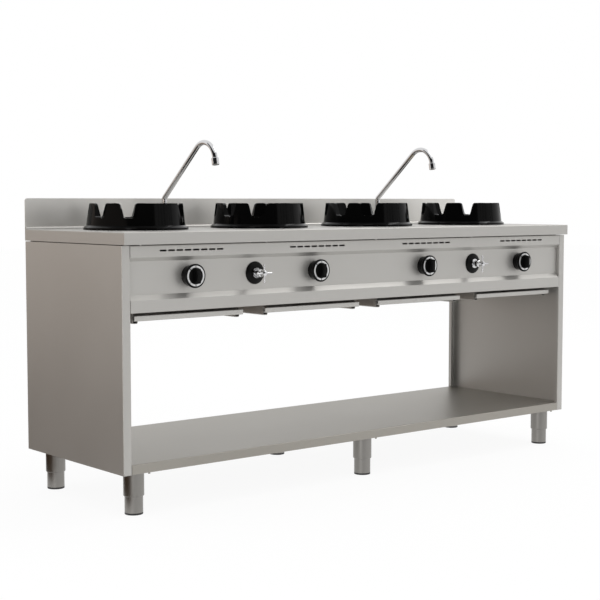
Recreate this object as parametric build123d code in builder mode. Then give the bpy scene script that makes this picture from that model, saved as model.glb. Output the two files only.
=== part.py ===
from build123d import *
import os
from math import radians, tan

# A free-standing gas wok range with four burners, two swivel water spouts, a pot shelf
# and six levelling legs. Millimetres. X runs from left to right, Y from front to back
# and Z up. The origin is on the floor, under the middle of the whole range.

# ------------------------------------------------------------------ driving dimensions
length = 2000.0              # worktop, left to right
depth = 600.0                # worktop, front to back
height = 850.0               # floor to worktop
apron = 37.0                 # folded edge of the worktop
upstand = 100.0              # splash-back above the worktop
top_sheet = 2.0              # worktop sheet
cove = 8.0                   # radius at the foot and at the upper corners of the splash-back
sheet = 1.5                  # sheet of the case
fold = 3.0                   # outer radius of a fold
fit = 0.05                   # running clearance of a shaft in its bore, on the radius
gap = 0.3                    # clearance between loose pieces

bays = 4                     # burners
burner_set = 326.5           # burner behind the worktop's front edge

setback = 15.0               # case behind the worktop's front edge
case_gap = 2.5               # shadow gap between the worktop's folded edge and the case
case_bottom = 131.0          # floor to the case
flange = 29.0                # folded edge of a side panel
flange_lip = 15.0            # second fold of that edge

fascia_drop = 239.5          # worktop to the fascia's lower edge
fascia_return = 18.0         # folded edges of the fascia, towards the back
fascia_seam = 0.5            # gap between fascia and side panel
recess_drop = 74.5           # worktop to the upper edge of the folded recess
recess_height = 127.5        # of the recess on the fascia's face
recess_depth = 14.0
recess_fall = 12.5           # height of the slope at the recess's upper edge
recess_rise = 15.0           # height of the slope at its lower edge
control_drop = 135.0         # worktop to the centre of the knobs and taps

slots = 8                    # vent slots over each burner
slot_length = 25.0
slot_width = 5.5
slot_pitch = 30.0
slot_drop = 56.0             # worktop to the slots

ring_height = 84.0           # cast wok ring
ring_flange_radius = 168.0
ring_flange = 7.0
ring_heel = 14.0             # the flange slopes up to the wall, to this height
ring_base_radius = 158.0
ring_top_radius = 150.0
ring_wall = 9.0
ring_rim = 11.5              # thickness at the top, where the wok's seat begins
ring_seat = 24.0             # thickness at the foot of the seat, level with the notches
ring_seat_foot = 20.0        # the wall is thin again below this height
notch_places = 9             # places round the ring, of which the front one stays solid
notch_sill = 38.5            # ring left below a notch
notch_top = 61.0             # width of a notch at the ring's top
notch_bottom = 40.0
notch_corner = 9.0

hole_radius = 125.0          # worktop opening under a wok ring
hole_collar = 20.0           # its turned-down edge

bracket_drop = 110.0         # worktop to the cross strip that carries a burner
bracket_width = 60.0
bracket_sheet = 2.0
bracket_end = 20.0
head_radius = 62.0           # burner head
head_drop = 15.0             # worktop to the head's rim
head_wall = 5.0
mixer_rise = 30.0            # strip to the axis of the gas and air mixing tube
mixer_radius = 17.0
mixer_bore = 12.0
mixer_length = 150.0
mouth_radius = 25.0
mouth_length = 12.0
stem_bore = 14.0
column_radius = 20.0
column_foot = 32.0
foot_plate = 6.0
head_skirt = 20.0            # height of the head's upright outer wall
head_cone = 20.0             # height of the cone below it
head_hollow = 15.0           # depth of the hollow at its outer edge
cap_edge = 4.0
cap_thickness = 12.0
cap_skirt = 5.0
cap_skirt_wall = 3.0
port_count = 32
port_width = 2.5
port_depth = 3.0
port_cut = 20.0              # length of the cutter that makes a port
pilot_offset = 76.0          # pilot beside the burner head
pilot_radius = 4.0
pilot_rise = 10.0            # pilot's top above the head's rim
sensor_radius = 2.5
sensor_offset = 12.0
pilot_plate = 3.0
pilot_plate_length = 36.0
pilot_plate_width = 20.0

knob_reach = 33.0            # front of the dial, from the recessed face
bezel_radius = 37.0
bezel_root = 31.0
bezel_waist = 33.0
bezel_rim = 11.0             # the rim starts so far behind the front
bezel_rim_slope = 5.0
bezel_edge = 2.0
bezel_floor = 3.0
dial_radius = 31.5
dial_width = 5.6
dial_thickness = 1.4
dial_marks = (0, 45, 135, 180)       # off, pilot, large flame, small flame
mark_width = 1.4
mark_length = 4.6
mark_depth = 0.3
knob_radius = 25.4
knob_edge = 1.0
knob_thickness = 13.0
knob_hub_radius = 9.0
knob_play = 2.0              # left behind the knob when it is pressed
knob_push = 4.0              # travel when the knob is pressed
grip_width = 14.0
grip_height = 20.0
grip_taper = 4.0             # degrees
grip_corner = 5.0
grip_edge = 2.0
spindle_radius = 4.0
spindle_front = 28.0         # front of the spindle, from the recessed face
spindle_rear = 33.0          # its rear end behind that face

valve_radius = 15.0          # gas tap behind the fascia
valve_neck = 7.0
valve_port = 44.0            # gas ports behind the recessed face
valve_length = 60.0
valve_nose = 2.0             # the neck stands out of the fascia
valve_boss = 18.0            # gas ports above and below the axis
valve_boss_radius = 8.0
valve_flange = 3.0
valve_flange_width = 48.0
valve_flange_height = 26.0
valve_play = 0.5             # end play of the plug
gas_bore = 3.5
plug_radius = 8.0
plug_length = 38.0
plug_start = 17.5            # front of the plug behind the recessed face
manifold_radius = 13.4
manifold_drop = 35.0         # manifold below the taps
manifold_overhang = 60.0     # beyond the first and the last burner
pipe_wall = 2.5
feed_radius = 5.0
feed_wall = 1.0
feed_bend = 15.0
injector_set = 145.0         # injector behind the worktop's front edge
injector_length = 20.0
injector_radius = 9.0
injector_bore = 1.0
inlet_clear = 3.0            # inlets end in front of the range's back
inlet_radius = 10.5          # half-inch pipe thread
inlet_length = 20.0

rosette_radius = 36.0        # black rose of a water tap
rosette_height = 8.0
rosette_edge = 2.0
tap_nut_radius = 16.5        # nut that holds the rosette
tap_nut = 4.0
tap_nut_bore = 13.0          # its hollow front
tap_nut_hollow = 3.0
tap_stem_radius = 8.0
tap_radius = 12.0
tap_length = 95.0            # tap body behind the recessed face
tap_port = 75.0
tap_boss = 20.0              # water port below the axis
tap_bore = 4.0
tap_stem = 24.0              # front of the stem, from the recessed face
handle_reach = 58.0          # front of the cross handle, from the recessed face
handle_start = 21.0          # back of its skirt
skirt_radius = 12.5
skirt_back_radius = 11.0
skirt_belly = 33.0
skirt_end = 42.0
skirt_hollow_radius = 9.3
skirt_hollow = 9.0
hub_radius = 8.0
hub_dome = 3.0
tap_spindle_radius = 4.0
spoke_reach = 49.0
spoke_span = 61.0
spoke_radius = 2.8

spout_inset = 64.4           # spout in front of the worktop's back edge
spout_radius = 9.0
spout_wall = 1.2
spout_elbow = 102.0          # height of the elbow above the worktop
spout_climb = 40.5           # slope of the long run, degrees
spout_straight = 256.0
spout_elbow_radius = 11.0
spout_hook_radius = 62.0
spout_tip_lean = 10.0        # the tip leans out of plumb, degrees
spout_collar_radius = 12.0
spout_collar = 8.0
spout_seat = 20.0            # length of the tube inside its base
aerator_radius = 12.5
aerator_length = 24.0
aerator_edge = 1.5
base_radius = 15.0
base_height = 45.0
base_flange_radius = 21.0
base_flange = 4.0
shank_length = 50.0
shank_bore = 6.0
shank_nut_radius = 17.0
shank_nut = 8.0

water_pipe_radius = 7.5
water_pipe_wall = 1.0
water_bend = 25.0
water_drop = 45.0            # supply pipe below the taps' water ports
water_pipe_inset = 48.0      # supply pipe in front of the worktop's back edge
water_inlet_x = -120.0

tray_shift = 7.0             # trays lie so much closer together than the burners
tray_width = 404.0           # front lip of a drip tray
tray_side = 6.0              # the lip stands out past the tray on each side
tray_set = 41.0              # lip behind the worktop's front edge
tray_lip = 15.0
tray_lip_height = 17.0
tray_inset = 84.0            # rear end of a tray in front of the worktop's back edge
tray_height = 16.0
tray_sheet = 1.2
tray_drop = 266.0            # worktop to the runner that the tray slides on
tray_return = 6.0
runner_drop = 7.0
runner_ledge = 15.0
runner_play = 1.0            # side play of a tray between its runners
wall_inset = 80.0            # rear end of the bay walls in front of the same edge
wall_step_set = 130.0        # the upper part of a wall starts here
wall_step_drop = 75.0        # its lower edge below the controls

shelf_top = 160.6
shelf_return = 15.0
rail_width = 90.0
leg_inset_x = 69.5
leg_inset_y = 56.0
leg_radius = 31.7
leg_step = 56.0              # floor to the lower end of the sleeve
leg_plate = 6.0
foot_radius = 28.0
foot_wall = 1.5
foot_cap = 6.0
foot_edge = 1.0
sleeve_edge = 1.5

rear_inset = 32.0            # rear panel in front of the range's back
rear_drop = 260.0            # worktop to the rear panel's lower edge

bolt_radius = 3.5            # bolt beside each leg
bolt_length = 9.0
bolt_beside = 37.0           # from the leg's axis, to the right
bolt_before = 29.0           # from the leg's axis, to the front
nub_radius = 3.0             # studs in the worktop's folded edge, to the fascia
nub_length = 3.0
nub_set = 7.5
nub_end = 60.0               # first and last stud, from the worktop's ends
nubs = 5

# ---------------------------------------------------------------------- derived places
front_reach = handle_reach - setback - recess_depth
y_front = (front_reach - depth) / 2
y_back = y_front + depth
x_end = length / 2
apron_bottom = height - apron
case_top = apron_bottom - case_gap
fascia_bottom = height - fascia_drop
recess_top = height - recess_drop
recess_bottom = recess_top - recess_height
control_height = height - control_drop
slot_height = height - slot_drop
bracket_top = height - bracket_drop
mixer_height = bracket_top + mixer_rise
head_rim = height - head_drop
head_base = head_rim - head_skirt
head_neck = head_base - head_cone
head_floor = head_rim - head_hollow
pilot_height = head_rim + pilot_rise
water_pipe_height = control_height - tap_boss - water_drop
tray_floor = height - tray_drop
wall_step_height = control_height - wall_step_drop
rear_bottom = height - rear_drop
knob_hub = knob_reach - knob_thickness - bezel_floor - knob_push - knob_play
plug_socket = spindle_rear + knob_push + knob_play - plug_start
y_case = y_front + setback
y_panel = y_case + recess_depth
top_under = height - top_sheet
bay_pitch = length / bays
tray_pitch = bay_pitch - tray_shift
nub_pitch = (length - 2 * nub_end) / (nubs - 1)
bay_x = [(bay - (bays - 1) / 2) * bay_pitch for bay in range(bays)]
tray_x = [(bay - (bays - 1) / 2) * tray_pitch for bay in range(bays)]
tap_x = [(bay_x[0] + bay_x[1]) / 2, (bay_x[-2] + bay_x[-1]) / 2]
y_burner = y_front + burner_set
y_spout = y_back - spout_inset
y_tray = y_front + tray_set
leg_x = [leg_inset_x - x_end, 0, x_end - leg_inset_x]
leg_spots = [(x, y) for x in leg_x for y in (y_case + leg_inset_y, y_back - leg_inset_y)]
opening_half = x_end - flange
wall_half = tray_width / 2 - tray_side + runner_play

os.makedirs("parts", exist_ok=True)


def save_at(piece, name, x, y, z):
    """Write one copy of a piece, moved to its place, as a node of its own."""
    placed = piece.part.moved(Location((x, y, z)))
    placed.label = name
    export_step(placed, f"parts/{name}.step")


def save_in_bays(piece, name, y, z):
    """Write a copy of a piece for each burner, numbered from the left."""
    for number, x in enumerate(bay_x, start=1):
        save_at(piece, f"{name}_{number}", x, y, z)


def folded_section(points, thickness, side=Side.RIGHT):
    """Section of a sheet folded along the points, with its thickness laid to one side."""
    with BuildSketch(Plane.XY) as section:
        with BuildLine():
            FilletPolyline(*points, radius=fold)
            offset(amount=thickness, side=side)
        make_face()
    return section.sketch


# ------------------------------------------------------------------------------ worktop
# One sheet: a flat top with folded edges, four turned-down openings for the burners and
# a welded splash-back with a coved foot.
with BuildPart() as worktop:
    with BuildSketch(Plane.XY.offset(apron_bottom)):
        with Locations((0, (y_front + y_back) / 2)):
            Rectangle(length, depth)
    extrude(amount=apron)
    fillet(worktop.faces().sort_by(Axis.Z)[-1].edges().sort_by(Axis.Y)[:-1], fold)
    with BuildSketch(Plane.XY.offset(apron_bottom)):
        with Locations((0, (y_front + y_back) / 2)):
            Rectangle(length - 2 * top_sheet, depth - 2 * top_sheet)
    extrude(amount=apron - top_sheet, mode=Mode.SUBTRACT)
    with BuildSketch(Plane.XZ.offset(-y_back)):
        with Locations((0, height - top_sheet)):
            Rectangle(length, upstand + top_sheet, align=(Align.CENTER, Align.MIN))
    extrude(amount=top_sheet)
    upstand_corners = worktop.edges().filter_by(Axis.Y).group_by(Axis.Z)[-1]
    fillet(upstand_corners, cove)
    with BuildSketch(Plane.YZ.offset(-x_end)):
        with BuildLine():
            foot = (y_back - top_sheet, height)
            Line(foot, (foot[0], foot[1] + cove))
            RadiusArc((foot[0], foot[1] + cove), (foot[0] - cove, foot[1]), -cove)
            Line((foot[0] - cove, foot[1]), foot)
        make_face()
    extrude(amount=length)
    with BuildSketch(Plane.XY.offset(apron_bottom)):
        with Locations((0, y_front + top_sheet)):
            Rectangle(length - 2 * top_sheet, fascia_return, align=(Align.CENTER, Align.MIN))
    extrude(amount=top_sheet)
    with BuildSketch(Plane.XY.offset(apron_bottom)):
        with Locations((0, y_front + nub_set)):
            with GridLocations(nub_pitch, nub_pitch, nubs, 1):
                Circle(nub_radius)
    extrude(amount=-nub_length)
    with BuildSketch(Plane.XY.offset(height - hole_collar)):
        with Locations(*[(x, y_burner) for x in bay_x]):
            Circle(hole_radius + top_sheet)
    extrude(amount=hole_collar - top_sheet)
    with BuildSketch(Plane.XY.offset(height - hole_collar)):
        with Locations(*[(x, y_burner) for x in bay_x]):
            Circle(hole_radius)
        with Locations(*[(x, y_spout) for x in tap_x]):
            Circle(inlet_radius + gap)
    extrude(amount=hole_collar, mode=Mode.SUBTRACT)
worktop.part.label = "worktop"
export_step(worktop.part, "parts/worktop.step")

# -------------------------------------------------------------------------- side panels
# A folded sheet: the wall, and a flange with a lip at its front and at its back.
wall_path = [
    (-opening_half, y_case + flange_lip),
    (-opening_half, y_case),
    (-x_end, y_case),
    (-x_end, y_back),
    (-opening_half, y_back),
    (-opening_half, y_back - flange_lip),
]
with BuildPart() as side_panel_left:
    with BuildSketch(Plane.XY.offset(case_bottom)):
        add(folded_section(wall_path, sheet))
    extrude(amount=case_top - case_bottom)
side_panel_left.part.label = "side_panel_left"
export_step(side_panel_left.part, "parts/side_panel_left.step")

with BuildPart() as side_panel_right:
    add(side_panel_left.part)
    mirror(about=Plane.YZ, mode=Mode.REPLACE)
side_panel_right.part.label = "side_panel_right"
export_step(side_panel_right.part, "parts/side_panel_right.step")

# ------------------------------------------------------------------------------- fascia
# The control panel: a sheet folded along its length, with a recess for knobs and taps that
# runs from one side panel to the other.
fascia_half = opening_half - fascia_seam
fascia_path = [
    (y_case + fascia_return, case_top),
    (y_case, case_top),
    (y_case, recess_top),
    (y_panel, recess_top - recess_fall),
    (y_panel, recess_bottom + recess_rise),
    (y_case, recess_bottom),
    (y_case, fascia_bottom),
    (y_case + fascia_return, fascia_bottom),
]
with BuildPart() as fascia:
    with BuildSketch(Plane.YZ.offset(-fascia_half)):
        add(folded_section(fascia_path, sheet, Side.LEFT))
    extrude(amount=2 * fascia_half)
    with BuildSketch(Plane.XZ.offset(-y_panel)):
        with Locations(*[(x, control_height) for x in bay_x]):
            Circle(valve_neck + gap)
        with Locations(*[(x, control_height) for x in tap_x]):
            Circle(tap_stem_radius + gap)
    extrude(amount=-fascia_return, mode=Mode.SUBTRACT)
    with BuildSketch(Plane.XZ.offset(-y_case)):
        for x in bay_x:
            with Locations((x, slot_height)):
                with GridLocations(slot_pitch, slot_width, slots, 1):
                    SlotOverall(slot_length, slot_width)
    extrude(amount=-fascia_return, mode=Mode.SUBTRACT)
fascia.part.label = "fascia"
export_step(fascia.part, "parts/fascia.step")

# --------------------------------------------------------------------------- rear panel
# Closes the back of the burner space; the pipes leave through two holes in it.
y_rear = y_back - rear_inset
y_valve = y_panel + valve_port
manifold_height = control_height - manifold_drop
with BuildPart() as rear_panel:
    rear_path = [
        (y_rear - flange_lip, top_under),
        (y_rear, top_under),
        (y_rear, rear_bottom),
        (y_rear - flange_lip, rear_bottom),
    ]
    with BuildSketch(Plane.YZ.offset(-x_end + sheet)):
        add(folded_section(rear_path, sheet))
    extrude(amount=2 * (x_end - sheet))
    with BuildSketch(Plane.XZ.offset(-y_rear + flange_lip)):
        with Locations((0, case_top)):
            for side in (-1, 1):
                with Locations((side * x_end, 0)):
                    Rectangle(2 * (top_sheet + gap), 2 * upstand, align=(Align.CENTER, Align.MIN))
        with Locations((0, manifold_height)):
            Circle(manifold_radius + gap)
        with Locations((water_inlet_x, water_pipe_height)):
            Circle(manifold_radius + gap)
    extrude(amount=-2 * flange_lip, mode=Mode.SUBTRACT)
rear_panel.part.label = "rear_panel"
export_step(rear_panel.part, "parts/rear_panel.step")

# ------------------------------------------------------------------------- bottom shelf
# A plate notched round the side panels' flanges, with a folded lip at front and back.
corner_x = flange - sheet + gap
corner_y = flange_lip + gap
shelf_half = opening_half - gap
y_middle = (y_case + y_back) / 2
with BuildPart() as bottom_shelf:
    with BuildSketch(Plane.XY.offset(shelf_top - sheet)):
        plate_depth = y_back - y_case - 2 * fold
        notch_depth = corner_y - fold
        with Locations((0, y_middle)):
            Rectangle(2 * (x_end - sheet), plate_depth)
            with GridLocations(2 * (x_end - sheet) - corner_x, plate_depth - notch_depth, 2, 2):
                Rectangle(corner_x, notch_depth, mode=Mode.SUBTRACT)
    extrude(amount=sheet)
    shelf_front = [
        (y_case + shelf_return, case_bottom),
        (y_case, case_bottom),
        (y_case, shelf_top),
        (y_case + shelf_return, shelf_top),
    ]
    shelf_back = [(2 * y_middle - y, z) for y, z in shelf_front]
    with BuildSketch(Plane.YZ.offset(-shelf_half)):
        add(folded_section(shelf_front, sheet))
        add(folded_section(shelf_back, sheet, Side.LEFT))
    extrude(amount=2 * shelf_half)
bottom_shelf.part.label = "bottom_shelf"
export_step(bottom_shelf.part, "parts/bottom_shelf.step")

# --------------------------------------------------------------------------------- legs
# Three channels under the shelf carry six legs: a steel sleeve with a closed top, and in
# it a foot that screws down to level the range. Its plastic cap stands on the floor. A
# bolt holds each leg to its channel.
with BuildPart() as leg_rails:
    rail_path = [
        (-rail_width / 2, shelf_top - sheet),
        (-rail_width / 2, case_bottom),
        (rail_width / 2, case_bottom),
        (rail_width / 2, shelf_top - sheet),
    ]
    rail_front = y_case + shelf_return + gap
    rail_back = y_back - shelf_return - gap
    with BuildSketch(Plane.XZ.offset(-rail_front)):
        with Locations(*[(x, 0) for x in leg_x]):
            add(folded_section(rail_path, sheet, Side.LEFT))
    extrude(amount=rail_front - rail_back)
    with BuildSketch(Plane.XY.offset(case_bottom)):
        with Locations(*[(x + bolt_beside, y - bolt_before) for x, y in leg_spots]):
            Circle(bolt_radius)
    extrude(amount=-bolt_length)
leg_rails.part.label = "leg_rails"
export_step(leg_rails.part, "parts/leg_rails.step")

with BuildPart() as leg_sleeves:
    with BuildSketch(Plane.XY.offset(leg_step)):
        with Locations(*leg_spots):
            Circle(leg_radius)
    extrude(amount=case_bottom - leg_step)
    chamfer(leg_sleeves.faces().group_by(Axis.Z)[0].edges(), sleeve_edge)
    with BuildSketch(Plane.XY.offset(leg_step)):
        with Locations(*leg_spots):
            Circle(foot_radius + gap)
    extrude(amount=case_bottom - leg_step - leg_plate, mode=Mode.SUBTRACT)
leg_sleeves.part.label = "leg_sleeves"
export_step(leg_sleeves.part, "parts/leg_sleeves.step")

foot_top = case_bottom - leg_plate - gap
with BuildPart() as foot:
    with BuildSketch(Plane.XY.offset(foot_cap)):
        Circle(foot_radius)
        Circle(foot_radius - foot_wall, mode=Mode.SUBTRACT)
    extrude(amount=foot_top - foot_cap)
    with BuildSketch(Plane.XY.offset(foot_top - foot_wall)):
        Circle(foot_radius - foot_wall)
    extrude(amount=foot_wall)
with BuildPart() as foot_sole:
    with BuildSketch(Plane.XY):
        Circle(foot_radius)
    extrude(amount=foot_cap)
    fillet(foot_sole.edges().group_by(Axis.Z)[0], foot_edge)
levelling_foot = Compound(children=[foot.part, foot_sole.part])
foot_names = [f"foot_{side}_{end}" for end in ("left", "middle", "right") for side in ("front", "rear")]
for name, (x, y) in zip(foot_names, leg_spots):
    placed_foot = levelling_foot.moved(Location((x, y, 0)))
    placed_foot.label = name
    export_step(placed_foot, f"parts/{name}.step")

# ------------------------------------------------------------------------------ wok rings
# Loose iron castings: a cone on a flange, notched all round to let the burnt gas
# out, except at the front, where the solid place shields the cook. Inside, the wall is
# thick where it slopes in as a seat for the wok.
seat_radius = ring_base_radius - ring_seat - (ring_base_radius - ring_top_radius) / 2
with BuildPart() as wok_ring:
    with BuildSketch(Plane.XZ):
        with BuildLine():
            Polyline(
                (ring_base_radius - ring_wall, 0),
                (ring_flange_radius, 0),
                (ring_flange_radius, ring_flange),
                (ring_base_radius, ring_heel),
                (ring_top_radius, ring_height),
                (ring_top_radius - ring_rim, ring_height),
                (seat_radius, notch_sill),
                (ring_base_radius - ring_wall, ring_seat_foot),
                close=True,
            )
        make_face()
    revolve(axis=Axis.Z)
    notch_step = 360 / notch_places
    for place in range(1, notch_places):
        with BuildSketch(Plane.XZ.rotated((0, 0, place * notch_step))):
            with BuildLine():
                above = ring_height + 2 * notch_corner
                FilletPolyline(
                    (-notch_top, above),
                    (-notch_top, ring_height),
                    (-notch_top / 2, ring_height),
                    (-notch_bottom / 2, notch_sill),
                    (notch_bottom / 2, notch_sill),
                    (notch_top / 2, ring_height),
                    (notch_top, ring_height),
                    (notch_top, above),
                    radius=notch_corner,
                )
                Line((notch_top, above), (-notch_top, above))
            make_face()
        extrude(amount=ring_flange_radius, mode=Mode.SUBTRACT)
save_in_bays(wok_ring, "wok_ring", y_burner, height)

# ------------------------------------------------------------------------------- bay walls
# On each side of a burner a wall hangs from the worktop, with the drip tray's runner
# folded into its foot; a cross strip between the two walls carries the burner.
with BuildPart() as bay_walls:
    ledge_in = wall_half - runner_ledge
    wall_section = [
        (wall_half + runner_ledge, top_under),
        (wall_half, top_under),
        (wall_half, tray_floor - runner_drop),
        (ledge_in, tray_floor - runner_drop),
        (ledge_in, tray_floor),
    ]
    mirrored_section = [(-x, z) for x, z in wall_section]
    wall_start = y_tray + tray_lip + runner_play
    wall_stop = y_back - wall_inset
    with BuildSketch(Plane.XZ.offset(-wall_start)):
        for x in tray_x:
            with Locations((x, 0)):
                add(folded_section(wall_section, sheet, Side.LEFT))
                add(folded_section(mirrored_section, sheet))
    extrude(amount=wall_start - wall_stop)
    with BuildSketch(Plane.YZ.offset(-x_end)):
        with Locations((wall_start, wall_step_height)):
            Rectangle(wall_step_set + y_front - wall_start, height, align=(Align.MIN, Align.MIN))
    extrude(amount=length, mode=Mode.SUBTRACT)
bay_walls.part.label = "bay_walls"
export_step(bay_walls.part, "parts/bay_walls.step")

# ------------------------------------------------------------------------------- burners
# A cross strip between two bay walls carries the burner: a cast column with a mixing tube
# towards the front, and on top a cup with a ring of ports, closed by a loose cap.
with BuildPart() as burner_brackets:
    bracket_path = [
        (-wall_half, bracket_top - bracket_end),
        (-wall_half, bracket_top),
        (wall_half, bracket_top),
        (wall_half, bracket_top - bracket_end),
    ]
    with BuildSketch(Plane.XZ.offset(bracket_width / 2 - y_burner)):
        for x in tray_x:
            with Locations((x, 0)):
                add(folded_section(bracket_path, bracket_sheet))
    extrude(amount=-bracket_width)
burner_brackets.part.label = "burner_brackets"
export_step(burner_brackets.part, "parts/burner_brackets.step")

with BuildPart() as burner_body:
    with BuildSketch(Plane.XZ):
        with BuildLine():
            Polyline(
                (0, bracket_top),
                (column_foot, bracket_top),
                (column_foot, bracket_top + foot_plate),
                (column_radius, bracket_top + foot_plate),
                (column_radius, head_neck),
                (head_radius, head_base),
                (head_radius, head_rim),
                (0, head_rim),
                close=True,
            )
        make_face()
    revolve(axis=Axis.Z)
    with BuildSketch(Plane.XZ):
        with Locations((0, mixer_height)):
            Circle(mixer_radius)
    extrude(amount=mixer_length)
    with BuildSketch(Plane.XZ.offset(mixer_length - mouth_length)):
        with Locations((0, mixer_height)):
            Circle(mixer_radius)
    with BuildSketch(Plane.XZ.offset(mixer_length)):
        with Locations((0, mixer_height)):
            Circle(mouth_radius)
    loft()
    with BuildSketch(Plane.XZ):
        with Locations((0, mixer_height)):
            Circle(mixer_bore)
    extrude(amount=mixer_length, mode=Mode.SUBTRACT)
    with BuildSketch(Plane.XZ.offset(mixer_length - mouth_length)):
        with Locations((0, mixer_height)):
            Circle(mixer_bore)
    with BuildSketch(Plane.XZ.offset(mixer_length)):
        with Locations((0, mixer_height)):
            Circle(mouth_radius - mixer_radius + mixer_bore)
    loft(mode=Mode.SUBTRACT)
    with BuildSketch(Plane.XZ):
        with BuildLine():
            Polyline(
                (0, mixer_height),
                (stem_bore, mixer_height),
                (stem_bore, head_base - head_wall),
                (head_radius - head_wall, head_floor),
                (head_radius - head_wall, head_rim),
                (0, head_rim),
                close=True,
            )
        make_face()
    revolve(axis=Axis.Z, mode=Mode.SUBTRACT)
    with BuildSketch(Plane.XY.offset(head_rim - port_depth)):
        with PolarLocations(head_radius, port_count):
            Rectangle(port_cut, port_width)
    extrude(amount=port_depth, mode=Mode.SUBTRACT)
save_in_bays(burner_body, "burner_body", y_burner, 0)

skirt_outer = head_radius - head_wall - gap
with BuildPart() as burner_cap:
    with BuildSketch(Plane.XZ):
        with BuildLine():
            Polyline(
                (0, cap_thickness),
                (0, 0),
                (skirt_outer - cap_skirt_wall, 0),
                (skirt_outer - cap_skirt_wall, -cap_skirt),
                (skirt_outer, -cap_skirt),
                (skirt_outer, 0),
                (head_radius, 0),
                (head_radius, cap_edge),
            )
            TangentArc((0, cap_thickness), (head_radius, cap_edge), tangent=(1, 0), tangent_from_first=True)
        make_face()
    revolve(axis=Axis.Z)
save_in_bays(burner_cap, "burner_cap", y_burner, head_rim)

# Beside each head, on the same strip, stand a pilot burner and its flame sensor.
with BuildPart() as pilot_burners:
    with BuildSketch(Plane.XY.offset(bracket_top)):
        with Locations(*[(x - pilot_offset, y_burner) for x in bay_x]):
            Rectangle(pilot_plate_width, pilot_plate_length)
    extrude(amount=pilot_plate)
    with BuildSketch(Plane.XY.offset(bracket_top)):
        with Locations(*[(x - pilot_offset, y_burner) for x in bay_x]):
            Circle(pilot_radius)
        with Locations(*[(x - pilot_offset, y_burner + sensor_offset) for x in bay_x]):
            Circle(sensor_radius)
    extrude(amount=pilot_height - bracket_top)
pilot_burners.part.label = "pilot_burners"
export_step(pilot_burners.part, "parts/pilot_burners.step")

# ----------------------------------------------------------------------------- gas train
# The manifold feeds a tap behind each knob. A pipe leads from the tap to the injector,
# which points into the mouth of the mixing tube across an air gap.
with BuildPart() as gas_manifold:
    manifold_half = bay_x[-1] + manifold_overhang
    socket_top = control_height - valve_boss
    with BuildSketch(Plane.YZ.offset(-manifold_half)):
        with Locations((y_valve, manifold_height)):
            Circle(manifold_radius)
    extrude(amount=2 * manifold_half)
    with BuildSketch(Plane.XZ.offset(-y_valve)):
        with Locations((0, manifold_height)):
            Circle(manifold_radius)
    extrude(amount=y_valve - y_back + inlet_clear + inlet_length)
    with BuildSketch(Plane.XZ.offset(-y_valve)):
        with Locations((0, manifold_height)):
            Circle(inlet_radius)
    extrude(amount=y_valve - y_back + inlet_clear)
    with BuildSketch(Plane.XY.offset(manifold_height)):
        with Locations(*[(x, y_valve) for x in bay_x]):
            Circle(valve_boss_radius)
    extrude(amount=socket_top - manifold_height)
    with BuildSketch(Plane.YZ.offset(pipe_wall - manifold_half)):
        with Locations((y_valve, manifold_height)):
            Circle(manifold_radius - pipe_wall)
    extrude(amount=2 * (manifold_half - pipe_wall), mode=Mode.SUBTRACT)
    with BuildSketch(Plane.XZ.offset(-y_valve)):
        with Locations((0, manifold_height)):
            Circle(inlet_radius - pipe_wall)
    extrude(amount=y_valve - y_back, mode=Mode.SUBTRACT)
    with BuildSketch(Plane.XY.offset(manifold_height)):
        with Locations(*[(x, y_valve) for x in bay_x]):
            Circle(gas_bore)
    extrude(amount=socket_top - manifold_height, mode=Mode.SUBTRACT)
gas_manifold.part.label = "gas_manifold"
export_step(gas_manifold.part, "parts/gas_manifold.step")

# From here on, a piece that turns about a control's axis is drawn with x as its radius
# and y as its depth behind the recessed face of the fascia.
with BuildPart() as valve_body:
    with BuildSketch(Plane.XZ.offset(valve_nose)):
        Circle(valve_neck)
    extrude(amount=-valve_nose - sheet - valve_flange)
    with BuildSketch(Plane.XZ.offset(-sheet)):
        RectangleRounded(valve_flange_width, valve_flange_height, valve_neck)
    extrude(amount=-valve_flange)
    with BuildSketch(Plane.XZ.offset(-sheet - valve_flange)):
        Circle(valve_radius)
    extrude(amount=sheet + valve_flange - valve_length)
    with BuildSketch(Plane.XY.offset(-valve_boss)):
        with Locations((0, valve_port)):
            Circle(valve_boss_radius)
    extrude(amount=2 * valve_boss)
    with BuildSketch(Plane.XY.offset(-valve_boss)):
        with Locations((0, valve_port)):
            Circle(gas_bore)
    extrude(amount=2 * valve_boss, mode=Mode.SUBTRACT)
    with BuildSketch(Plane.XZ.offset(valve_nose)):
        Circle(spindle_radius + 2 * gap)
    extrude(amount=-valve_nose - plug_start, mode=Mode.SUBTRACT)
    with BuildSketch(Plane.XZ.offset(valve_play - plug_start)):
        Circle(plug_radius + fit)
    extrude(amount=-plug_length - 2 * valve_play, mode=Mode.SUBTRACT)
with BuildPart() as gas_valve_bodies:
    with Locations(*[(x, y_panel, control_height) for x in bay_x]):
        add(valve_body.part)
gas_valve_bodies.part.label = "gas_valve_bodies"
export_step(gas_valve_bodies.part, "parts/gas_valve_bodies.step")

with BuildPart() as valve_plug:
    with BuildSketch(Plane.XZ.offset(-plug_start)):
        Circle(plug_radius)
    extrude(amount=-plug_length)
    with BuildSketch(Plane.XZ.offset(-plug_start)):
        Circle(spindle_radius + fit)
    extrude(amount=-plug_socket, mode=Mode.SUBTRACT)
    with BuildSketch(Plane.YZ):
        with Locations((valve_port, 0)):
            Circle(gas_bore)
    extrude(amount=plug_radius, both=True, mode=Mode.SUBTRACT)
save_in_bays(valve_plug, "valve_plug", y_panel, control_height)

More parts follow.
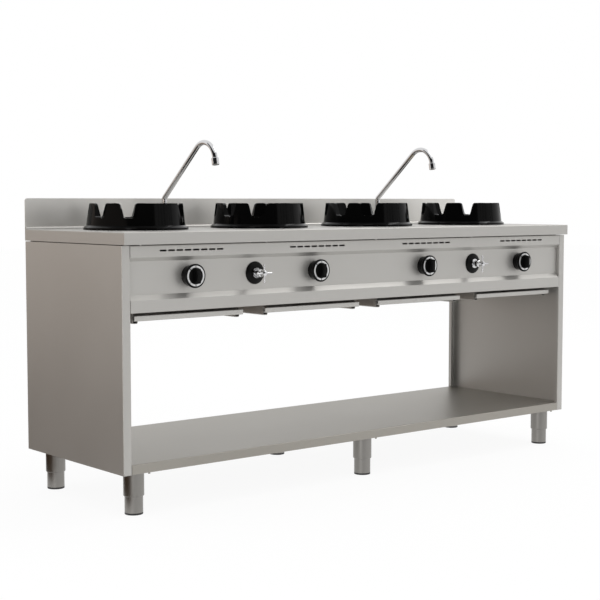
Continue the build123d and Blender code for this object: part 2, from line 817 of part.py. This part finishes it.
with BuildPart() as burner_feed:
    feed_start = control_height + valve_boss
    y_injector = y_front + injector_set
    with BuildLine(Plane.YZ):
        FilletPolyline(
            (y_valve, feed_start),
            (y_valve, mixer_height),
            (y_injector, mixer_height),
            radius=feed_bend,
        )
    with BuildSketch(Plane.XY.offset(feed_start)):
        with Locations((0, y_valve)):
            Circle(feed_radius)
            Circle(feed_radius - feed_wall, mode=Mode.SUBTRACT)
    sweep()
    with BuildSketch(Plane.XZ.offset(-y_injector)):
        with Locations((0, mixer_height)):
            RegularPolygon(injector_radius, 6)
            Circle(injector_bore, mode=Mode.SUBTRACT)
    extrude(amount=-injector_length)
with BuildPart() as burner_feeds:
    with Locations(*[(x, 0, 0) for x in bay_x]):
        add(burner_feed.part)
burner_feeds.part.label = "burner_feeds"
export_step(burner_feeds.part, "parts/burner_feeds.step")

# --------------------------------------------------------------------------------- knobs
# A fixed bezel holds a marked dial ring. The knob inside it turns the plug through the
# spindle, and must be pressed in before it turns.
with BuildPart() as spindle:
    with BuildSketch(Plane.XZ.offset(spindle_front)):
        Circle(spindle_radius)
    extrude(amount=-spindle_front - spindle_rear)
save_in_bays(spindle, "spindle", y_panel, control_height)

with BuildPart() as bezel:
    with BuildSketch(Plane.XY):
        with BuildLine():
            rim_back = bezel_rim - knob_reach
            Polyline(
                (valve_neck + 2 * gap, 0),
                (bezel_root, 0),
                (bezel_waist, rim_back),
                (bezel_radius, rim_back - bezel_rim_slope),
                (bezel_radius, -knob_reach + bezel_edge),
                (bezel_radius - bezel_edge, -knob_reach),
                (dial_radius + gap, -knob_reach),
                (dial_radius + gap, dial_thickness - knob_reach),
                (knob_radius + gap, dial_thickness - knob_reach),
                (knob_radius + gap, -bezel_floor),
                (valve_neck + 2 * gap, -bezel_floor),
                close=True,
            )
        make_face()
    revolve(axis=Axis.Y)
with BuildPart() as knob_bezels:
    with Locations(*[(x, y_panel, control_height) for x in bay_x]):
        add(bezel.part)
knob_bezels.part.label = "knob_bezels"
export_step(knob_bezels.part, "parts/knob_bezels.step")

with BuildPart() as dial_ring:
    with BuildSketch(Plane.XZ.offset(knob_reach - dial_thickness)):
        Circle(dial_radius)
        Circle(dial_radius - dial_width, mode=Mode.SUBTRACT)
    extrude(amount=dial_thickness)
    with BuildSketch(Plane.XZ.offset(knob_reach - mark_depth)):
        for mark in dial_marks:
            with PolarLocations(dial_radius - dial_width / 2, 1, start_angle=90 + mark):
                Rectangle(mark_length, mark_width)
    extrude(amount=mark_depth, mode=Mode.SUBTRACT)
with BuildPart() as dial_rings:
    with Locations(*[(x, y_panel, control_height) for x in bay_x]):
        add(dial_ring.part)
dial_rings.part.label = "dial_rings"
export_step(dial_rings.part, "parts/dial_rings.step")

with BuildPart() as knob:
    with BuildSketch(Plane.XZ.offset(knob_reach - knob_thickness)):
        Circle(knob_radius)
    extrude(amount=knob_thickness)
    fillet(knob.edges().group_by(Axis.Y)[0], knob_edge)
    with BuildSketch(Plane.XZ.offset(knob_reach - knob_thickness)):
        Circle(knob_hub_radius)
    extrude(amount=-knob_hub)
    with BuildSketch(Plane.XZ.offset(knob_reach)) as grip:
        Circle(knob_radius - 2 * gap - knob_edge)
        Rectangle(grip_width, 2 * knob_radius, mode=Mode.INTERSECT)
        fillet(grip.vertices(), grip_corner)
    extrude(amount=grip_height, taper=grip_taper)
    fillet(knob.faces().sort_by(Axis.Y)[0].edges(), grip_edge)
    with BuildSketch(Plane.XZ.offset(spindle_front)):
        Circle(spindle_radius + fit)
    extrude(amount=-spindle_front, mode=Mode.SUBTRACT)
save_in_bays(knob, "knob", y_panel, control_height)

# ---------------------------------------------------------------------------- water taps
# A nut in front of the rosette clamps the valve to the fascia. The cross handle turns on
# the valve's stem.
with BuildPart() as rosette:
    with BuildSketch(Plane.XY):
        with BuildLine():
            Line((tap_stem_radius + gap, -rosette_height), (tap_stem_radius + gap, 0))
            Line((tap_stem_radius + gap, 0), (rosette_radius, 0))
            Line((rosette_radius, 0), (rosette_radius, -rosette_edge))
            TangentArc(
                (tap_nut_radius, -rosette_height),
                (rosette_radius, -rosette_edge),
                tangent=(1, 0),
                tangent_from_first=True,
            )
            Line((tap_nut_radius, -rosette_height), (tap_stem_radius + gap, -rosette_height))
        make_face()
    revolve(axis=Axis.Y)
with BuildPart() as tap_rosettes:
    with Locations(*[(x, y_panel, control_height) for x in tap_x]):
        add(rosette.part)
tap_rosettes.part.label = "tap_rosettes"
export_step(tap_rosettes.part, "parts/tap_rosettes.step")

with BuildPart() as tap_valve:
    with BuildSketch(Plane.XZ.offset(tap_stem)):
        Circle(tap_stem_radius)
    extrude(amount=-tap_stem - tap_port)
    with BuildSketch(Plane.XZ.offset(-sheet)):
        Circle(tap_radius)
    extrude(amount=sheet - tap_length)
    with BuildSketch(Plane.XY.offset(-tap_boss)):
        with Locations((0, tap_port)):
            Circle(water_pipe_radius)
    extrude(amount=tap_boss)
    with BuildSketch(Plane.XY.offset(-tap_boss)):
        with Locations((0, tap_port)):
            Circle(tap_bore)
    extrude(amount=tap_boss, mode=Mode.SUBTRACT)
    with BuildSketch(Plane.XZ.offset(-tap_port)):
        Circle(tap_bore)
    extrude(amount=tap_port - tap_length, mode=Mode.SUBTRACT)
    with BuildSketch(Plane.XZ.offset(tap_stem)):
        Circle(tap_spindle_radius + fit)
    extrude(amount=rosette_height - tap_stem, mode=Mode.SUBTRACT)
with BuildPart() as rosette_nut:
    with BuildSketch(Plane.XZ.offset(rosette_height)):
        Circle(tap_nut_radius)
        Circle(tap_stem_radius + fit, mode=Mode.SUBTRACT)
    extrude(amount=tap_nut)
    with BuildSketch(Plane.XZ.offset(rosette_height + tap_nut)):
        Circle(tap_nut_bore)
    extrude(amount=-tap_nut_hollow, mode=Mode.SUBTRACT)
with BuildPart() as tap_valves:
    with Locations(*[(x, y_panel, control_height) for x in tap_x]):
        add(tap_valve.part)
        add(rosette_nut.part)
tap_valves.part.label = "tap_valves"
export_step(tap_valves.part, "parts/tap_valves.step")

with BuildPart() as tap_handle:
    with BuildSketch(Plane.XY):
        with BuildLine():
            Polyline(
                (0, -handle_reach),
                (0, -rosette_height - gap),
                (tap_spindle_radius, -rosette_height - gap),
                (tap_spindle_radius, -handle_start - skirt_hollow),
                (skirt_hollow_radius, -handle_start - skirt_hollow),
                (skirt_hollow_radius, -handle_start),
                (skirt_back_radius, -handle_start),
            )
            Spline(
                (skirt_back_radius, -handle_start),
                (skirt_radius, -skirt_belly),
                (hub_radius, -skirt_end),
                tangents=((0, -1), (0, -1)),
            )
            Line((hub_radius, -skirt_end), (hub_radius, hub_dome - handle_reach))
            TangentArc(
                (0, -handle_reach),
                (hub_radius, hub_dome - handle_reach),
                tangent=(1, 0),
                tangent_from_first=True,
            )
        make_face()
    revolve(axis=Axis.Y)
    for facing in (Plane.YZ, Plane.XY):
        with BuildSketch(facing.offset(-spoke_span / 2)):
            with Locations(facing.to_local_coords(Vector(0, -spoke_reach, 0))):
                Circle(spoke_radius)
        extrude(amount=spoke_span)
    spoke_ends = tap_handle.edges().filter_by(GeomType.CIRCLE).filter_by(
        lambda edge: abs(edge.radius - spoke_radius) < fit
    )
    fillet(spoke_ends, spoke_radius / 2)
save_at(tap_handle, "tap_handle_left", tap_x[0], y_panel, control_height)
save_at(tap_handle, "tap_handle_right", tap_x[-1], y_panel, control_height)

# --------------------------------------------------------------------------- water pipes
# One supply pipe runs along the back and forward to both taps; from each tap a pipe goes
# back and up to its spout. The supply leaves through the rear panel.
y_water = y_back - water_pipe_inset
y_port = y_panel + tap_port
y_outlet = y_panel + tap_length


def water_pipe(points):
    """A pipe swept along a route of straight runs with round bends."""
    with BuildPart() as pipe:
        with BuildLine() as route:
            FilletPolyline(*points, radius=water_bend)
        with BuildSketch(Plane(origin=route.line @ 0, z_dir=route.line % 0)):
            Circle(water_pipe_radius)
            Circle(water_pipe_radius - water_pipe_wall, mode=Mode.SUBTRACT)
        sweep()
    return pipe.part


with BuildPart() as water_pipes:
    add(
        water_pipe([
            (tap_x[0], y_port, control_height - tap_boss),
            (tap_x[0], y_port, water_pipe_height),
            (tap_x[0], y_water, water_pipe_height),
            (tap_x[-1], y_water, water_pipe_height),
            (tap_x[-1], y_port, water_pipe_height),
            (tap_x[-1], y_port, control_height - tap_boss),
        ])
    )
    with BuildSketch(Plane.XZ.offset(-y_water)):
        with Locations((water_inlet_x, water_pipe_height)):
            Circle(manifold_radius)
    extrude(amount=y_water - y_back + inlet_clear + inlet_length)
    with BuildSketch(Plane.XZ.offset(-y_water)):
        with Locations((water_inlet_x, water_pipe_height)):
            Circle(inlet_radius)
    extrude(amount=y_water - y_back + inlet_clear)
    with BuildSketch(Plane.XZ.offset(-y_water)):
        with Locations((water_inlet_x, water_pipe_height)):
            Circle(water_pipe_radius - water_pipe_wall)
    extrude(amount=y_water - y_back + inlet_clear, mode=Mode.SUBTRACT)
    for x in tap_x:
        add(
            water_pipe([
                (x, y_outlet, control_height),
                (x, y_spout, control_height),
                (x, y_spout, height - shank_length),
            ])
        )
water_pipes.part.label = "water_pipes"
export_step(water_pipes.part, "parts/water_pipes.step")

# -------------------------------------------------------------------------------- spouts
# A base bolted through the worktop holds the swivelling tube, which climbs forwards and
# hooks down to an aerator.
with BuildPart() as spout_base:
    with BuildSketch(Plane.XY.offset(height)):
        Circle(base_flange_radius)
    extrude(amount=base_flange)
    fillet(spout_base.edges().group_by(Axis.Z)[-1], base_flange / 2)
    with BuildSketch(Plane.XY.offset(height)):
        Circle(base_radius)
    extrude(amount=base_height)
    chamfer(spout_base.edges().group_by(Axis.Z)[-1], aerator_edge)
    with BuildSketch(Plane.XY.offset(height - shank_length)):
        Circle(inlet_radius)
    extrude(amount=shank_length)
    with BuildSketch(Plane.XY.offset(height - shank_length)):
        Circle(shank_bore)
    extrude(amount=shank_length + base_height, mode=Mode.SUBTRACT)
    with BuildSketch(Plane.XY.offset(height + base_height)):
        Circle(spout_radius + fit)
    extrude(amount=-spout_seat, mode=Mode.SUBTRACT)
with BuildPart() as shank_lock:
    with BuildSketch(Plane.XY.offset(top_under)):
        RegularPolygon(shank_nut_radius, 6)
        Circle(inlet_radius + fit, mode=Mode.SUBTRACT)
    extrude(amount=-shank_nut)
with BuildPart() as spout_bases:
    with Locations(*[(x, y_spout, 0) for x in tap_x]):
        add(spout_base.part)
        add(shank_lock.part)
spout_bases.part.label = "spout_bases"
export_step(spout_bases.part, "parts/spout_bases.step")

base_top = height + base_height
elbow_height = height + spout_elbow
elbow_reach = spout_elbow_radius * tan(radians((90 - spout_climb) / 2))
with BuildPart() as spout:
    with BuildLine(Plane.YZ) as spout_route:
        riser = Line((0, base_top - spout_seat + gap), (0, elbow_height - elbow_reach))
        elbow = JernArc(riser @ 1, (0, 1), spout_elbow_radius, 90 - spout_climb)
        run = PolarLine(elbow @ 1, spout_straight - elbow_reach, 180 - spout_climb)
        JernArc(run @ 1, run % 1, spout_hook_radius, 90 + spout_climb - spout_tip_lean)
    with BuildSketch(Plane.XY.offset(base_top - spout_seat + gap)):
        Circle(spout_radius)
        Circle(spout_radius - spout_wall, mode=Mode.SUBTRACT)
    sweep()
    with BuildSketch(Plane.XY.offset(base_top + gap)):
        Circle(spout_collar_radius)
        Circle(spout_radius - spout_wall, mode=Mode.SUBTRACT)
    extrude(amount=spout_collar)
with BuildPart() as aerator:
    tip = Plane(origin=spout_route.line @ 1, z_dir=spout_route.line % 1)
    with BuildSketch(tip):
        Circle(aerator_radius)
    extrude(amount=aerator_length)
    chamfer(aerator.edges().filter_by(GeomType.CIRCLE), aerator_edge)
    with BuildSketch(tip):
        Circle(spout_radius - spout_wall)
    extrude(amount=aerator_length, mode=Mode.SUBTRACT)
for side, x in (("left", tap_x[0]), ("right", tap_x[-1])):
    save_at(spout, f"spout_{side}", x, y_spout, 0)
    save_at(aerator, f"aerator_{side}", x, y_spout, 0)

# --------------------------------------------------------------------------- drip trays
# Shallow pans that slide out to the front on the runners in the bay walls. A folded lip
# across the front is the handle.
with BuildPart() as drip_tray:
    tray_half = tray_width / 2 - tray_side
    y_pan = y_tray + tray_lip
    tray_length = y_back - tray_inset - y_pan
    with BuildSketch(Plane.XY.offset(tray_floor)):
        with Locations((0, y_pan)):
            Rectangle(2 * tray_half, tray_length, align=(Align.CENTER, Align.MIN))
    extrude(amount=tray_height)
    with BuildSketch(Plane.XY.offset(tray_floor + tray_sheet)):
        with Locations((0, y_pan + tray_sheet)):
            Rectangle(
                2 * (tray_half - tray_sheet),
                tray_length - 2 * tray_sheet,
                align=(Align.CENTER, Align.MIN),
            )
    extrude(amount=tray_height, mode=Mode.SUBTRACT)
    lip_path = [
        (y_pan, tray_floor + tray_height / 2),
        (y_pan, tray_floor + tray_lip_height),
        (y_tray, tray_floor + tray_lip_height),
        (y_tray, tray_floor),
        (y_tray + tray_return, tray_floor),
    ]
    with BuildSketch(Plane.YZ.offset(-tray_width / 2)):
        add(folded_section(lip_path, tray_sheet, Side.LEFT))
    extrude(amount=tray_width)
for number, x in enumerate(tray_x, start=1):
    save_at(drip_tray, f"drip_tray_{number}", x, 0, 0)
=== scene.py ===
import math

import bpy
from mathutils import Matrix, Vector

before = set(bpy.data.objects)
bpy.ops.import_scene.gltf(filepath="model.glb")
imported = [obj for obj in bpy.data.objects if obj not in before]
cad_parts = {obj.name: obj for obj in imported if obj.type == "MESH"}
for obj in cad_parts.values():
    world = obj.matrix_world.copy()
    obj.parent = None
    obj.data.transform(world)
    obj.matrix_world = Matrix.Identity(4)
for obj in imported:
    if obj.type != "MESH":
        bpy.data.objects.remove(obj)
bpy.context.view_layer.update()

# ---------------------------------------------------------------------------- the camera
# The range is seen from its left front corner, from just above worktop height, through a
# long lens.
heading = math.radians(39.63)
tilt_down = math.radians(4.246)
camera = bpy.data.objects.new("camera", bpy.data.cameras.new("camera"))
camera.location = Vector((-3.0745, -3.5894, 0.9410))
camera.rotation_euler = (math.radians(90) - tilt_down, 0, -heading)
camera.data.lens = 80
camera.data.sensor_width = 36
camera.data.clip_end = 60
bpy.context.scene.collection.objects.link(camera)
bpy.context.scene.camera = camera
bpy.context.scene.view_settings.view_transform = "Standard"


# ---------------------------------------------------------------------------- the studio
# A white studio: soft white light from all sides over a white floor. Screens that the camera
# doesn't see stand behind it and to the left, and give the metal its darker tones.
class Wire:
    """One socket of a finish or of the studio, in arithmetic that adds Math nodes."""

    def __init__(self, sheet, socket):
        self.sheet = sheet
        self.socket = socket

    def math(self, operation, *values):
        return self.sheet.node("ShaderNodeMath", {"operation": operation}, *values)

    def __add__(self, other):
        return self.math("ADD", self, other)

    def __sub__(self, other):
        return self.math("SUBTRACT", self, other)

    def __rsub__(self, other):
        return self.math("SUBTRACT", other, self)

    def __mul__(self, other):
        return self.math("MULTIPLY", self, other)

    def __mod__(self, other):
        return self.math("FLOORED_MODULO", self, other)

    def __lt__(self, other):
        return self.math("LESS_THAN", self, other)

    def __gt__(self, other):
        return self.math("GREATER_THAN", self, other)

    def __abs__(self):
        return self.math("ABSOLUTE", self)

    __radd__ = __add__
    __rmul__ = __mul__


class Sheet:
    """A node tree to draw on. node() adds any node and gives one of its outputs."""

    def __init__(self, tree):
        self.tree = tree

    def feed(self, socket, value):
        if isinstance(value, Wire):
            self.tree.links.new(value.socket, socket)
        else:
            socket.default_value = value

    def node(self, kind, settings, *values, output=0, **named):
        made = self.tree.nodes.new(kind)
        for key, value in settings.items():
            setattr(made, key, value)
        for place, value in enumerate(values):
            self.feed(made.inputs[place], value)
        for name, value in named.items():
            self.feed(made.inputs[name], value)
        return Wire(self, made.outputs[output])

    def place(self):
        """Where a point is on the range, in metres."""
        return self.node("ShaderNodeTexCoord", {}, output="Object")

    def axes(self):
        """The three numbers of that place."""
        split = self.tree.nodes.new("ShaderNodeSeparateXYZ")
        self.feed(split.inputs[0], self.place())
        return [Wire(self, out) for out in split.outputs]

    def ramp(self, value, low, high):
        """0 below low, 1 above high, and smooth in between."""
        settings = {"interpolation_type": "SMOOTHSTEP"}
        return self.node("ShaderNodeMapRange", settings, value, low, high, 0.0, 1.0)

    def mix(self, share, first, second):
        """A colour between two colours."""
        made = self.tree.nodes.new("ShaderNodeMix")
        made.data_type = "RGBA"
        for place, value in ((0, share), (6, first), (7, second)):
            if isinstance(value, tuple):
                value = (*value, 1)
            self.feed(made.inputs[place], value)
        return Wire(self, made.outputs[2])


def grey(tone):
    """A colour without tint."""
    return (tone, tone, tone)


world = bpy.data.worlds.new("studio")
world.use_nodes = True
bpy.context.scene.world = world
world.node_tree.nodes["Background"].inputs["Color"].default_value = (1.0, 1.0, 1.0, 1.0)
world.node_tree.nodes["Background"].inputs["Strength"].default_value = 1.0


def softbox(name, place, target, width, height, power):
    """A rectangular lamp that shines at a point."""
    lamp = bpy.data.lights.new(name, "AREA")
    lamp.shape = "RECTANGLE"
    lamp.size = width
    lamp.size_y = height
    lamp.energy = power
    stand = bpy.data.objects.new(name, lamp)
    stand.location = place
    aim = Vector(target) - Vector(place)
    stand.rotation_euler = aim.to_track_quat("-Z", "Y").to_euler()
    bpy.context.scene.collection.objects.link(stand)


softbox("high_right", (3.4, -0.6, 4.6), (0, -0.2, 0.8), 2.4, 1.6, 68)
softbox("low_left", (-3.2, -1.8, 0.5), (0.9, 0.0, 0.35), 1.2, 0.8, 14)


def paint(name, surface):
    """A material with that shader, for the floor or a screen."""
    made = bpy.data.materials.new(name)
    made.use_nodes = True
    sheet = Sheet(made.node_tree)
    sheet.feed(made.node_tree.nodes["Material Output"].inputs["Surface"], surface(sheet))
    return made


def white_floor(sheet):
    """Matt white, and plain white where it is seen or reflected, with the shadow left in."""
    white_share = 0.92
    matt = sheet.node("ShaderNodeBsdfDiffuse", {}, (*grey(0.9), 1))
    glow = sheet.node("ShaderNodeEmission", {}, (*grey(1), 1), 1.0)
    seen = ("Is Camera Ray", "Is Glossy Ray", "Is Transmission Ray")
    rays = [sheet.node("ShaderNodeLightPath", {}, output=kind) for kind in seen]
    share = (rays[0] + rays[1] + rays[2]) * white_share
    return sheet.node("ShaderNodeMixShader", {}, share, matt, glow)


floor_size = 40
bpy.ops.mesh.primitive_plane_add(size=floor_size)
floor = bpy.context.object
floor.name = "floor"
floor.data.materials.append(paint("floor_paint", white_floor))

graded_to = 1.2


def screen(name, rows, low, high):
    """A matt sheet through rows of points, low in tone at the floor, high at graded_to."""
    count = len(rows[0])
    starts = [row * count + i for row in range(len(rows) - 1) for i in range(count - 1)]
    faces = [(start, start + 1, start + 1 + count, start + count) for start in starts]
    sheet = bpy.data.meshes.new(name)
    sheet.from_pydata([point for row in rows for point in row], [], faces)
    made = bpy.data.objects.new(name, sheet)
    bpy.context.scene.collection.objects.link(made)

    def graded(nodes):
        height = nodes.axes()[2]
        rise = nodes.node("ShaderNodeMapRange", {}, height, 0.0, graded_to, 0.0, 1.0)
        return nodes.node("ShaderNodeEmission", {}, nodes.mix(rise, low, high), 1.0)

    sheet.materials.append(paint(name, graded))
    made.visible_camera = False
    made.visible_diffuse = False
    made.visible_shadow = False


def upright(line, heights):
    """Rows of points over a line on the floor, one row at each height."""
    return [[(x, y, z) for x, y in line] for z in heights]


black_cloth = grey(0.02)
grey_cloth = grey(0.05)
screen_top = 9.0
behind = [(-8.5, 2.2), (-8.5, -3.0), (-6.0, -7.0), (-3.0, -9.0), (1.2, -9.0)]
screen("screen_behind", upright(behind, (0.0, screen_top)), black_cloth, black_cloth)
aside = [(-8.5, 2.2), (-6.5, 5.5)]
screen("screen_aside", upright(aside, (2.0, screen_top)), black_cloth, black_cloth)
for number in range(6):
    x, y = 2.6 + 1.0 * number, -8.4 + 0.68 * number
    breadth = 0.14 + 0.07 * (number % 3)
    rows = [[(x, y, z), (x + breadth, y + 0.7 * breadth, z)] for z in (0.0, screen_top)]
    screen(f"screen_strip_{number}", rows, grey_cloth, grey_cloth)

# The left screen starts on the floor, close to the side panel, and lends it a warm tone.
edge = [(-1.08, -0.4), (-1.08, 0.4), (-0.75, 1.2), (-0.2, 2.2), (0.5, 3.6)]
beside = [(-2.1, -1.0), (-2.1, 0.6), (-1.5, 1.8), (-0.6, 3.0), (0.3, 4.0)]
floor_gap = 0.004
rows = upright(edge, (floor_gap,)) + upright(beside, (floor_gap, graded_to))
screen("screen_left", rows, (0.08, 0.05, 0.03), (0.80, 0.69, 0.61))


# --------------------------------------------------------------------------- the worktop
# One welded sheet of stainless steel with folded aprons and a splash-back. It is ground
# along its length, in hair-fine lines with broad soft patches where the grind is coarser,
# and the splash-back is ground finer than the top. The splash-back's colour is also painted
# about half again lighter than the top's: painted light that lifts the shade of the black
# wok rings reflected in it.
class Finish(Sheet):
    """A material made of nodes. Uniform numbers are set on its shader by name."""

    def __init__(self, name, **uniform):
        self.material = bpy.data.materials.new(name)
        self.material.use_nodes = True
        super().__init__(self.material.node_tree)
        self.shader = self.tree.nodes["Principled BSDF"]
        self.set(**uniform)

    def set(self, **values):
        for name, value in values.items():
            if isinstance(value, tuple):
                value = (*value, 1)
            self.feed(self.shader.inputs[name.replace("_", " ")], value)

    def noise(self, scale, stretch=(1, 1, 1), detail=2.0):
        """Noise around 0.5, finer with a larger scale, stretched along the smaller axes."""
        multiply = {"operation": "MULTIPLY"}
        spread = self.node("ShaderNodeVectorMath", multiply, self.place(), stretch)
        return self.node("ShaderNodeTexNoise", {}, Vector=spread, Scale=scale, Detail=detail)

    def bump(self, height, strength, distance):
        """Normals of a surface with that height."""
        return self.node("ShaderNodeBump", {}, Height=height, Strength=strength, Distance=distance)


def dress(finish, *nodes):
    """Give CAD nodes a finish."""
    for name in nodes:
        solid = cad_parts[name].data
        for place in range(len(solid.materials)):
            solid.materials[place] = finish.material


def scaled(tint, factor):
    """A tint made lighter or darker."""
    return tuple(part * factor for part in tint)


def satin_steel(name, grain, tint, rough):
    """Satin steel, ground along one axis of the range (0 length, 1 depth, 2 height)."""
    along, across = 3.0, 900.0
    patch_size = 2.2
    finish = Finish(name, Metallic=0.78)
    stretch = tuple(along if axis == grain else across for axis in range(3))
    lines = finish.noise(1.0, stretch, 3.0)
    patches = finish.noise(patch_size, detail=3.0)
    tone = finish.mix(finish.ramp(patches, 0.3, 0.7), tint, scaled(tint, 1.05))
    finish.set(
        Base_Color=tone,
        Roughness=rough + (patches - 0.5) * 0.10 + (lines - 0.5) * 0.06,
        Normal=finish.bump(lines, 0.12, 0.0004),
    )
    return finish


steel_tint = (0.495, 0.484, 0.462)
steel_rough = 0.48
splash_foot = 0.858
# How much lighter the splash-back's colour is painted than the top's: painted light against the
# dark rings reflected in it.
splash_painted_light_gain = 1.55
top_finish = satin_steel("steel_top", 0, steel_tint, steel_rough)
splash = top_finish.axes()[2] > splash_foot
top_patches = top_finish.noise(2.2, detail=3.0)
# Painted light: above splash_foot the base colour is the lighter copy of the steel tint.
top_finish.set(
    Base_Color=top_finish.mix(splash, steel_tint, scaled(steel_tint, splash_painted_light_gain)),
    Roughness=steel_rough - splash * 0.10 + top_patches * 0.02,
)
dress(top_finish, "worktop")

# ------------------------------------------------------------- the fascia and rear panel
# Two folded sheets of the same steel from side panel to side panel, ground along their
# length and fixed under the worktop. The fascia carries the controls.
dress(satin_steel("steel_ground_along", 0, steel_tint, steel_rough), "fascia", "rear_panel")

# ----------------------------------------------------------------------- the side panels
# Two sheets of the same steel, folded round at front and back to stand as posts. They are
# ground upright.
side_finish = satin_steel("steel_ground_upright", 2, steel_tint, steel_rough)
dress(side_finish, "side_panel_left", "side_panel_right")

# ------------------------------------------------------------------------- the pot shelf
# A folded sheet of duller steel between the side panels, on channels that carry the legs.
# All of it is ground along the range.
shelf_finish = satin_steel("steel_shelf", 0, (0.335, 0.317, 0.285), 0.40)
dress(shelf_finish, "bottom_shelf", "leg_rails")

# ------------------------------------------------------------- bay walls and cross strips
# Plain bent sheets under the worktop, ground from front to back. The walls part the four
# burner bays, and the cross strips carry the burners.
inside_finish = satin_steel("steel_inside", 1, (0.42, 0.40, 0.375), 0.40)
dress(inside_finish, "bay_walls", "burner_brackets")


# ------------------------------------------------------------------------ the drip trays
# Four shallow folded trays of smoother steel, one under each burner. They slide in from
# the front, under the fascia.
def four(name):
    """The names of a piece that each of the four burners has."""
    return [f"{name}_{bay}" for bay in range(1, 5)]


dress(satin_steel("steel_tray", 0, steel_tint, 0.30), *four("drip_tray"))

# -------------------------------------------------------------------- the legs and feet
# Satin steel sleeves under the shelf, with a steel tube screwed into each one. The tube
# stands on a cap of black plastic. The steel of the legs is painted much darker than the
# rest: painted shade, standing for the darker floor and surroundings that the legs reflect.
cap_top = 0.006
cap_tint = grey(0.012)
# Painted shade: the legs' steel tint is far darker than steel_tint, for the dark floor they
# reflect.
leg_painted_shade_tint = (0.27, 0.26, 0.245)
leg_rough = 0.36
leg_finish = satin_steel("steel_leg", 2, leg_painted_shade_tint, leg_rough)
above_cap = leg_finish.axes()[2] > cap_top
leg_finish.set(
    Base_Color=leg_finish.mix(above_cap, cap_tint, leg_painted_shade_tint),
    Metallic=above_cap,
    Roughness=0.5 - above_cap * 0.16,
)
feet = [f"foot_{row}_{end}" for row in ("front", "rear") for end in ("left", "middle", "right")]
dress(leg_finish, "leg_sleeves", *feet)

# --------------------------------------------------------------------------- the wok rings
# Heavy iron castings in gloss black enamel, which lies a little uneven on the casting.
# They stand loose on the worktop.
enamel = Finish("black_enamel", Base_Color=grey(0.002), Specular_IOR_Level=0.07)
flow = enamel.noise(90.0, detail=2.0)
enamel.set(Roughness=0.07 + flow * 0.08, Normal=enamel.bump(flow, 0.15, 0.0004))
dress(enamel, *four("wok_ring"))

# ---------------------------------------------------------------------------- the burners
# Bodies of raw grey cast iron on the cross strips, with loose caps of turned brass, and a
# small brass pilot beside each one.
raw_iron = Finish("raw_iron", Metallic=0.6)
pits = raw_iron.noise(600.0, detail=3.0)
raw_iron.set(
    Base_Color=raw_iron.mix(pits, (0.06, 0.055, 0.05), (0.13, 0.125, 0.12)),
    Roughness=0.55 + pits * 0.2,
    Normal=raw_iron.bump(pits, 0.3, 0.0005),
)
dress(raw_iron, *four("burner_body"))


def turned_metal(name, tint, rough):
    """Bright turned or drawn metal with a faint stain."""
    finish = Finish(name, Metallic=1.0)
    stain = finish.noise(35.0, detail=3.0)
    finish.set(
        Base_Color=finish.mix(stain, scaled(tint, 0.8), tint),
        Roughness=rough + stain * 0.12,
    )
    return finish


brass_tint = (0.70, 0.50, 0.22)
brass = turned_metal("brass", brass_tint, 0.22)
dress(brass, *four("burner_cap"), "pilot_burners")

# ------------------------------------------------------------------------ the gas fittings
# A zinc-plated steel pipe runs behind the fascia and carries four turned brass valves, with
# a feed pipe to each burner. A steel spindle joins each valve plug to its knob.
dress(brass, "gas_valve_bodies", "burner_feeds", *four("valve_plug"))
dress(turned_metal("zinc_pipe", (0.55, 0.56, 0.57), 0.35), "gas_manifold")
dress(turned_metal("turned_steel", grey(0.58), 0.25), *four("spindle"))

# ------------------------------------------------------------------------------- the knobs
# Moulded in black plastic: a fixed bezel on the fascia, and the knob with its grip bar
# inside it. Between them lies a bright metal ring, printed with four marks.
plastic = Finish("black_plastic", Base_Color=grey(0.003), Specular_IOR_Level=0.10)
skin = plastic.noise(1500.0)
plastic.set(Roughness=0.24 + skin * 0.12, Normal=plastic.bump(skin, 0.08, 0.0001))
dress(plastic, "knob_bezels", *four("knob"))

burner_pitch = 0.5
knob_height = 0.715
half_mark = 0.055
marks = ((90, 0.30), (135, 0.02), (225, 0.42), (270, 0.12))
dial = Finish("dial_metal", Metallic=1.0)
along_range, _, up = dial.axes()
sideways = (along_range + 2 * burner_pitch) % burner_pitch - burner_pitch / 2
turn = dial.node("ShaderNodeMath", {"operation": "ARCTAN2"}, up - knob_height, sideways)
dial_tone = grey(0.70)
for angle, tone in marks:
    away = abs((turn - math.radians(angle) + math.pi * 3) % (math.pi * 2) - math.pi)
    dial_tone = dial.mix(away < half_mark, dial_tone, grey(tone))
dial.set(Base_Color=dial_tone, Roughness=0.28 + dial.noise(300.0) * 0.1)
dress(dial, "dial_rings")

# ----------------------------------------------------------------------- the water fittings
# Drawn copper pipe from the inlet to both taps and on to the spouts. The taps are turned
# brass, chrome-plated where they show in front of the fascia, on black rosettes.
dress(turned_metal("copper_pipe", (0.72, 0.38, 0.24), 0.25), "water_pipes")
dress(plastic, "tap_rosettes")

chrome_tint = (0.66, 0.66, 0.67)
fascia_front = -0.2565
plated = Finish("tap_metal", Metallic=1.0)
outside = plated.axes()[1] < fascia_front
wear = plated.noise(40.0, detail=3.0)
plated.set(
    Base_Color=plated.mix(outside, brass_tint, chrome_tint),
    Roughness=0.25 - outside * 0.19 + wear * 0.05,
)
dress(plated, "tap_valves")

# ------------------------------------------------------------------- the handles and spouts
# Chrome-plated brass. A cross handle turns on each tap, and a bent spout with an aerator
# swivels on a base at the back of the worktop.
chrome = Finish("chrome", Metallic=1.0, Base_Color=chrome_tint)
chrome.set(Roughness=0.05 + chrome.noise(40.0, detail=3.0) * 0.05)
for side in ("left", "right"):
    dress(chrome, f"tap_handle_{side}", f"spout_{side}", f"aerator_{side}")
dress(chrome, "spout_bases")
